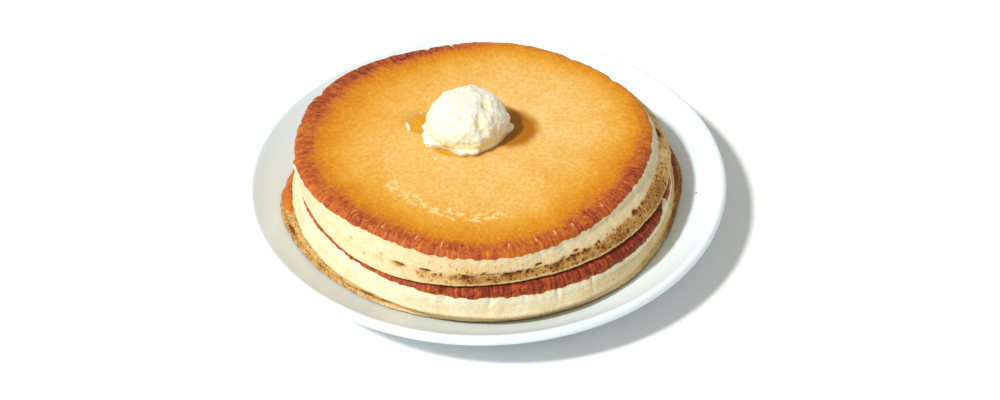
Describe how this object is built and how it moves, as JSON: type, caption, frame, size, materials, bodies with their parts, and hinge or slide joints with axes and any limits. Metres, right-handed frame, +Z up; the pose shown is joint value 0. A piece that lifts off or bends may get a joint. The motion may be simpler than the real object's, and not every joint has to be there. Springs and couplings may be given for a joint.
{
  "type": "pancake stack",
  "caption": "Stack of thick round pancakes topped with a scoop of whipped butter, on a white rolled-rim plate.",
  "frame": {"origin": "middle of the plate's foot, on the table", "axes": "+Z up out of the plate; -Y is the side seen first and +X is to its right"},
  "size_m": [0.2048, 0.2048, 0.0605],
  "materials": {
    "plate_glaze": "gloss",
    "pancake_low": "matte",
    "pancake_mid": "matte",
    "pancake_high": "matte",
    "butter": "satin"
  },
  "bodies": {
    "root": {"plate": "plate_glaze", "pancake_bottom": "pancake_low", "pancake_middle": "pancake_mid", "pancake_top": "pancake_high", "butter_scoop": "butter"}
  },
  "joints": []
}
